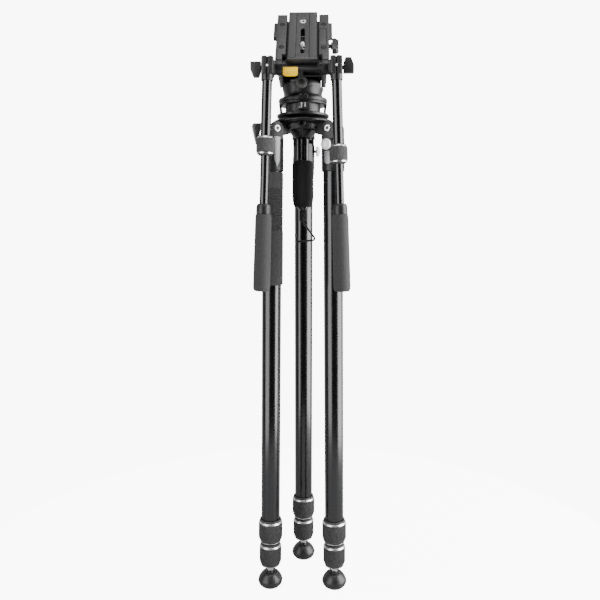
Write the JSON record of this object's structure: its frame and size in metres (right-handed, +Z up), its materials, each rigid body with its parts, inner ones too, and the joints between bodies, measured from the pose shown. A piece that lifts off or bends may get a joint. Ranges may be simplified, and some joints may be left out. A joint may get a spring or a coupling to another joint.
{
  "type": "video tripod with fluid head",
  "caption": "Folded video tripod with three telescopic legs, a levelling base, a fluid head and two pan handles.",
  "frame": {"origin": "on the floor under the middle of the tripod", "axes": "+Z up the tripod; +Y from the operator towards the front of the head"},
  "size_m": [0.1542, 0.1692, 0.92],
  "materials": {
    "black_anodised": "black anodised, semi-gloss",
    "satin_black_casting": "satin black paint on a casting",
    "dark_grey_head": "matt dark grey paint",
    "black_rubber": "matt ribbed rubber",
    "black_foam": "matt closed-cell foam",
    "black_plastic": "matt moulded",
    "bright_steel": "bright",
    "yellow_plastic": "satin moulded",
    "black_webbing": "woven"
  },
  "bodies": {
    "canopy": {"canopy": "satin_black_casting"},
    "rear_leg": {"rear_leg_shoulder": "satin_black_casting", "rear_leg_pin": "bright_steel", "rear_leg_upper_tube": "black_anodised"},
    "rear_leg_upper_lock": {"rear_leg_upper_collar": "black_rubber"},
    "rear_leg_middle": {"rear_leg_middle_tube": "black_anodised"},
    "rear_leg_lower_lock": {"rear_leg_lower_collar": "black_rubber"},
    "rear_leg_lower": {"rear_leg_lower_tube": "black_anodised", "rear_leg_foot": "black_rubber"},
    "rear_leg_knob": {"rear_leg_angle_knob": "bright_steel"},
    "left_leg": {"left_leg_shoulder": "satin_black_casting", "left_leg_pin": "bright_steel", "left_leg_upper_tube": "black_anodised", "left_leg_grip": "black_foam"},
    "left_leg_upper_lock": {"left_leg_upper_collar": "black_rubber"},
    "left_leg_middle": {"left_leg_middle_tube": "black_anodised"},
    "left_leg_lower_lock": {"left_leg_lower_collar": "black_rubber"},
    "left_leg_lower": {"left_leg_lower_tube": "black_anodised", "left_leg_foot": "black_rubber"},
    "left_leg_knob": {"left_leg_angle_knob": "bright_steel"},
    "right_leg": {"right_leg_shoulder": "satin_black_casting", "right_leg_pin": "bright_steel", "right_leg_upper_tube": "black_anodised"},
    "right_leg_upper_lock": {"right_leg_upper_collar": "black_rubber"},
    "right_leg_middle": {"right_leg_middle_tube": "black_anodised"},
    "right_leg_lower_lock": {"right_leg_lower_collar": "black_rubber"},
    "right_leg_lower": {"right_leg_lower_tube": "black_anodised", "right_leg_foot": "black_rubber"},
    "right_leg_knob": {"right_leg_angle_knob": "bright_steel"},
    "clamp_lever": {"clamp_lever": "black_plastic"},
    "level_cup": {"level_cup": "black_anodised"},
    "level_ball": {"level_ball": "satin_black_casting", "pan_base": "satin_black_casting"},
    "level_handle": {"level_handle": "black_anodised", "level_grip": "black_foam"},
    "hook_strap": {"hook_strap": "black_webbing"},
    "weight_hook": {"weight_hook": "satin_black_casting"},
    "base_latch": {"base_latch": "black_plastic"},
    "pan_body": {"pan_body": "dark_grey_head"},
    "drag_lever": {"drag_lever": "dark_grey_head"},
    "cradle": {"cradle": "satin_black_casting", "platform": "dark_grey_head"},
    "platform_knob": {"platform_knob": "black_plastic"},
    "clamp_block": {"clamp_block": "dark_grey_head"},
    "release_button": {"release_button": "black_plastic"},
    "safety_button": {"safety_button": "yellow_plastic"},
    "camera_plate": {"camera_plate": "dark_grey_head"},
    "camera_screw": {"camera_screw": "bright_steel"},
    "left_handle": {"left_handle_clamp": "black_plastic", "left_handle_tube": "black_anodised"},
    "left_handle_wing_knob": {"left_handle_wing_knob": "black_plastic"},
    "left_handle_collar": {"left_handle_collar": "black_rubber"},
    "left_handle_rod": {"left_handle_rod": "black_anodised", "left_handle_grip": "black_foam"},
    "right_handle": {"right_handle_clamp": "black_plastic", "right_handle_tube": "black_anodised"},
    "right_handle_wing_knob": {"right_handle_wing_knob": "black_plastic"},
    "right_handle_collar": {"right_handle_collar": "black_rubber"},
    "right_handle_rod": {"right_handle_rod": "black_anodised", "right_handle_grip": "black_foam"}
  },
  "joints": [
    {"name": "rear_leg_spread", "type": "hinge", "parent": "canopy", "child": "rear_leg", "pos_m": [0, 0.053, 0.734], "axis": [1, 0, 0], "range_deg": [0, 80]},
    {"name": "rear_leg_upper_twist", "type": "hinge", "parent": "rear_leg", "child": "rear_leg_upper_lock", "pos_m": [0, 0.053, 0.734], "axis": [0, 0.0108, -0.9999], "range_deg": [0, 90]},
    {"name": "rear_leg_middle_slide", "type": "slide", "parent": "rear_leg", "child": "rear_leg_middle", "axis": [0, 0.0108, -0.9999], "range_m": [0, 0.46]},
    {"name": "rear_leg_lower_twist", "type": "hinge", "parent": "rear_leg_middle", "child": "rear_leg_lower_lock", "pos_m": [0, 0.053, 0.734], "axis": [0, 0.0108, -0.9999], "range_deg": [0, 90]},
    {"name": "rear_leg_lower_slide", "type": "slide", "parent": "rear_leg_middle", "child": "rear_leg_lower", "axis": [0, 0.0108, -0.9999], "range_m": [0, 0.455]},
    {"name": "rear_leg_knob_press", "type": "slide", "parent": "rear_leg", "child": "rear_leg_knob", "axis": [-1, 0, 0], "range_m": [0, 0.0015], "stiffness_N_per_m": 300, "springref_m": -0.0008},
    {"name": "left_leg_spread", "type": "hinge", "parent": "canopy", "child": "left_leg", "pos_m": [-0.0459, -0.0265, 0.734], "axis": [-0.5, 0.866, 0], "range_deg": [0, 80]},
    {"name": "left_leg_upper_twist", "type": "hinge", "parent": "left_leg", "child": "left_leg_upper_lock", "pos_m": [-0.0459, -0.0265, 0.734], "axis": [-0.0094, -0.0054, -0.9999], "range_deg": [0, 90]},
    {"name": "left_leg_middle_slide", "type": "slide", "parent": "left_leg", "child": "left_leg_middle", "axis": [-0.0094, -0.0054, -0.9999], "range_m": [0, 0.46]},
    {"name": "left_leg_lower_twist", "type": "hinge", "parent": "left_leg_middle", "child": "left_leg_lower_lock", "pos_m": [-0.0459, -0.0265, 0.734], "axis": [-0.0094, -0.0054, -0.9999], "range_deg": [0, 90]},
    {"name": "left_leg_lower_slide", "type": "slide", "parent": "left_leg_middle", "child": "left_leg_lower", "axis": [-0.0094, -0.0054, -0.9999], "range_m": [0, 0.455]},
    {"name": "left_leg_knob_press", "type": "slide", "parent": "left_leg", "child": "left_leg_knob", "axis": [0.5, -0.866, 0], "range_m": [0, 0.0015], "stiffness_N_per_m": 300, "springref_m": -0.0008},
    {"name": "right_leg_spread", "type": "hinge", "parent": "canopy", "child": "right_leg", "pos_m": [0.0459, -0.0265, 0.734], "axis": [-0.5, -0.866, 0], "range_deg": [0, 80]},
    {"name": "right_leg_upper_twist", "type": "hinge", "parent": "right_leg", "child": "right_leg_upper_lock", "pos_m": [0.0459, -0.0265, 0.734], "axis": [0.0094, -0.0054, -0.9999], "range_deg": [0, 90]},
    {"name": "right_leg_middle_slide", "type": "slide", "parent": "right_leg", "child": "right_leg_middle", "axis": [0.0094, -0.0054, -0.9999], "range_m": [0, 0.46]},
    {"name": "right_leg_lower_twist", "type": "hinge", "parent": "right_leg_middle", "child": "right_leg_lower_lock", "pos_m": [0.0459, -0.0265, 0.734], "axis": [0.0094, -0.0054, -0.9999], "range_deg": [0, 90]},
    {"name": "right_leg_lower_slide", "type": "slide", "parent": "right_leg_middle", "child": "right_leg_lower", "axis": [0.0094, -0.0054, -0.9999], "range_m": [0, 0.455]},
    {"name": "right_leg_knob_press", "type": "slide", "parent": "right_leg", "child": "right_leg_knob", "axis": [0.5, 0.866, 0], "range_m": [0, 0.0015], "stiffness_N_per_m": 300, "springref_m": -0.0008},
    {"name": "clamp_lever_turn", "type": "hinge", "parent": "canopy", "child": "clamp_lever", "pos_m": [-0.051, 0, 0.743], "axis": [0, 1, 0], "range_deg": [0, 90]},
    {"name": "level_tilt_side", "type": "hinge", "parent": "canopy", "child": "level_cup", "pos_m": [0, 0, 0.757], "axis": [0, 1, 0], "range_deg": [-4, 4]},
    {"name": "level_tilt_fore", "type": "hinge", "parent": "level_cup", "child": "level_ball", "pos_m": [0, 0, 0.757], "axis": [1, 0, 0], "range_deg": [-4, 4]},
    {"name": "level_handle_twist", "type": "hinge", "parent": "level_ball", "child": "level_handle", "pos_m": [0, 0, 0.757], "axis": [0, 0, 1], "continuous": true},
    {"name": "strap_swing", "type": "hinge", "parent": "level_handle", "child": "hook_strap", "pos_m": [0, 0, 0.6126], "axis": [1, 0, 0], "range_deg": [-8, 8]},
    {"name": "hook_swing", "type": "hinge", "parent": "hook_strap", "child": "weight_hook", "pos_m": [0, 0, 0.5947], "axis": [1, 0, 0], "range_deg": [-8, 8]},
    {"name": "base_latch_press", "type": "slide", "parent": "level_ball", "child": "base_latch", "axis": [0, 1, 0], "range_m": [0, 0.002], "stiffness_N_per_m": 300, "springref_m": -0.0008},
    {"name": "pan", "type": "hinge", "parent": "level_ball", "child": "pan_body", "pos_m": [0, 0, 0.757], "axis": [0, 0, 1], "continuous": true},
    {"name": "drag_lever_turn", "type": "hinge", "parent": "pan_body", "child": "drag_lever", "pos_m": [-0.001, 0, 0.801], "axis": [0, 1, 0], "range_deg": [-50, 15]},
    {"name": "tilt", "type": "hinge", "parent": "pan_body", "child": "cradle", "pos_m": [0, 0, 0.8185], "axis": [1, 0, 0], "range_deg": [-105, 2]},
    {"name": "platform_knob_turn", "type": "hinge", "parent": "cradle", "child": "platform_knob", "pos_m": [0, -0.02668, 0.85463], "axis": [1, 0, 0], "continuous": true},
    {"name": "clamp_block_slide", "type": "slide", "parent": "cradle", "child": "clamp_block", "axis": [-1, 0, 0], "range_m": [0, 0.002]},
    {"name": "release_button_press", "type": "slide", "parent": "cradle", "child": "release_button", "axis": [1, 0, 0], "range_m": [0, 0.0015], "stiffness_N_per_m": 300, "springref_m": -0.0008},
    {"name": "safety_button_press", "type": "slide", "parent": "cradle", "child": "safety_button", "axis": [0, 0.6691, 0.7431], "range_m": [0, 0.002], "stiffness_N_per_m": 300, "springref_m": -0.0008},
    {"name": "plate_slide", "type": "slide", "parent": "cradle", "child": "camera_plate", "axis": [0, 0.6691, 0.7431], "range_m": [0, 0.03]},
    {"name": "camera_screw_turn", "type": "hinge", "parent": "camera_plate", "child": "camera_screw", "pos_m": [0, 0.00201, 0.82073], "axis": [0, -0.7431, 0.6691], "continuous": true},
    {"name": "left_handle_angle", "type": "hinge", "parent": "cradle", "child": "left_handle", "pos_m": [0, -0.06, 0.8163], "axis": [1, 0, 0], "range_deg": [-150, 0]},
    {"name": "left_handle_wing_turn", "type": "hinge", "parent": "left_handle", "child": "left_handle_wing_knob", "pos_m": [0, -0.06, 0.8163], "axis": [1, 0, 0], "continuous": true},
    {"name": "left_handle_collar_twist", "type": "hinge", "parent": "left_handle", "child": "left_handle_collar", "pos_m": [-0.049, -0.073, 0.8163], "axis": [-0.0337, -0.0093, -0.9994], "range_deg": [0, 90]},
    {"name": "left_handle_extend", "type": "slide", "parent": "left_handle", "child": "left_handle_rod", "axis": [-0.0337, -0.0093, -0.9994], "range_m": [0, 0.09]},
    {"name": "right_handle_angle", "type": "hinge", "parent": "cradle", "child": "right_handle", "pos_m": [0, -0.06, 0.8163], "axis": [1, 0, 0], "range_deg": [-150, 0]},
    {"name": "right_handle_wing_turn", "type": "hinge", "parent": "right_handle", "child": "right_handle_wing_knob", "pos_m": [0, -0.06, 0.8163], "axis": [1, 0, 0], "continuous": true},
    {"name": "right_handle_collar_twist", "type": "hinge", "parent": "right_handle", "child": "right_handle_collar", "pos_m": [0.049, -0.073, 0.8163], "axis": [0.0337, -0.0093, -0.9994], "range_deg": [0, 90]},
    {"name": "right_handle_extend", "type": "slide", "parent": "right_handle", "child": "right_handle_rod", "axis": [0.0337, -0.0093, -0.9994], "range_m": [0, 0.09]}
  ]
}
